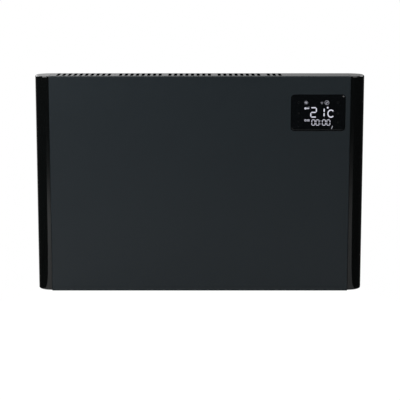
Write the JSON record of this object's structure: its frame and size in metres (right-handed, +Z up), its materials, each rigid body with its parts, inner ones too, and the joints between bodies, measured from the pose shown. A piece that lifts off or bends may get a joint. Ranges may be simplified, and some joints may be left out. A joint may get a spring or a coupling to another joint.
{
  "type": "panel convector heater",
  "caption": "Slim panel convector heater with a slotted top outlet, touch display window, rounded end caps, finned element and a lift-off wall bracket.",
  "frame": {"origin": "bottom centre of the whole object's box, wall bracket included", "axes": "+X to the right seen from the front, the front faces -Y, +Z up; the wall plane is the highest Y"},
  "size_m": [0.64, 0.0888, 0.424],
  "materials": {
    "front_panel_paint": "satin charcoal powder coat",
    "rear_panel_paint": "matt charcoal powder coat",
    "top_cover_paint": "satin charcoal powder coat",
    "end_cap_plastic": "polished black moulding",
    "zinc_sheet": "zinc plated sheet",
    "bright_shield": "bright aluminised sheet",
    "element_aluminium": "plain aluminium",
    "bush_ceramic": "unglazed steatite",
    "cutout_body": "phenolic moulding",
    "fuse_sleeve": "woven glass sleeve",
    "display_gloss": "polished black window",
    "foam_gasket": "closed-cell foam",
    "moulded_black": "fine textured moulding",
    "board_laminate": "green solder mask",
    "led_white": "white segment housing",
    "standoff_nylon": "natural nylon",
    "relay_case": "blue relay case",
    "transformer_core": "tape-wound core",
    "capacitor_sleeve": "plain shrink sleeve",
    "rocker_gloss": "gloss black rocker",
    "sensor_bead": "epoxy bead",
    "screw_steel": "zinc plated",
    "screw_black": "black oxide",
    "bracket_paint": "matt black powder coat",
    "buffer_rubber": "soft black rubber"
  },
  "bodies": {
    "casing": {"front_panel": "front_panel_paint", "rear_panel": "rear_panel_paint", "top_grille": "top_cover_paint", "bottom_grille": "rear_panel_paint", "right_end_cap": "end_cap_plastic", "left_end_cap": "end_cap_plastic", "right_side_plate": "zinc_sheet", "left_side_plate": "zinc_sheet", "partition_plate": "zinc_sheet", "front_heat_shield": "bright_shield", "rear_heat_shield": "bright_shield", "cover_strap": "zinc_sheet", "heating_element": "element_aluminium", "left_element_stand": "zinc_sheet", "right_element_stand": "zinc_sheet", "element_bushes": "bush_ceramic", "element_terminals": "screw_steel", "thermal_cutout": "cutout_body", "thermal_fuse": "fuse_sleeve", "display_lens": "display_gloss", "display_gasket": "foam_gasket", "display_holder": "moulded_black", "display_nuts": "screw_steel", "display_board": "board_laminate", "led_module": "led_white", "touch_pads": "screw_steel", "power_board": "board_laminate", "board_standoffs": "standoff_nylon", "relays": "relay_case", "transformer": "transformer_core", "capacitors": "capacitor_sleeve", "terminal_block": "standoff_nylon", "cord_inlet_bush": "moulded_black", "switch_body": "moulded_black", "tip_over_switch": "moulded_black", "sensor_clip": "standoff_nylon", "room_sensor": "sensor_bead", "top_screw": "screw_black", "rear_screws": "screw_black", "cap_screws": "screw_steel"},
    "power_rocker": {"switch_rocker": "rocker_gloss"},
    "wall_bracket": {"bracket_cross_rail": "bracket_paint", "left_bracket_upright": "bracket_paint", "right_bracket_upright": "bracket_paint", "bracket_rivets": "screw_steel", "bracket_buffers": "buffer_rubber"}
  },
  "joints": [
    {"name": "power_switch", "type": "hinge", "parent": "casing", "child": "power_rocker", "pos_m": [0.2498, 0.0264, 0.046], "axis": [1, 0, 0], "range_deg": [0, 16]},
    {"name": "bracket_lift_off", "type": "slide", "parent": "casing", "child": "wall_bracket", "axis": [0, 0, -1], "range_m": [0, 0.012]}
  ]
}
